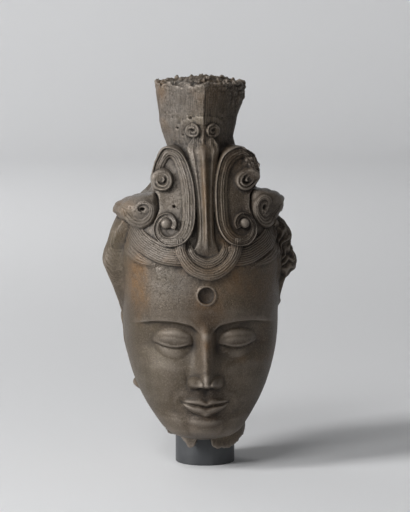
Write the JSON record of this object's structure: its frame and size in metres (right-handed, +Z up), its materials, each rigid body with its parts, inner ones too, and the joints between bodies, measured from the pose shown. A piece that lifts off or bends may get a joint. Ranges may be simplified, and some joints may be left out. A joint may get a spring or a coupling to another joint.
{
  "type": "cast bodhisattva head on a post",
  "caption": "Life-size cast head of a bodhisattva with a scrolled crown of hair, broken at the neck and topknot, standing on a round post.",
  "frame": {"origin": "centre of the post's foot, on the surface that the object stands on", "axes": "+Z up along the post, the face looks along -Y, and +X is to the right for someone who faces it"},
  "size_m": [0.2088, 0.2076, 0.4129],
  "materials": {
    "bronze": "old cast bronze with a grey-brown patina, rust-brown and olive patches, worn to a soft gloss on the high places",
    "post_black": "matt black coating on turned steel"
  },
  "bodies": {
    "root": {"head": "bronze", "stand_post": "post_black"}
  },
  "joints": []
}
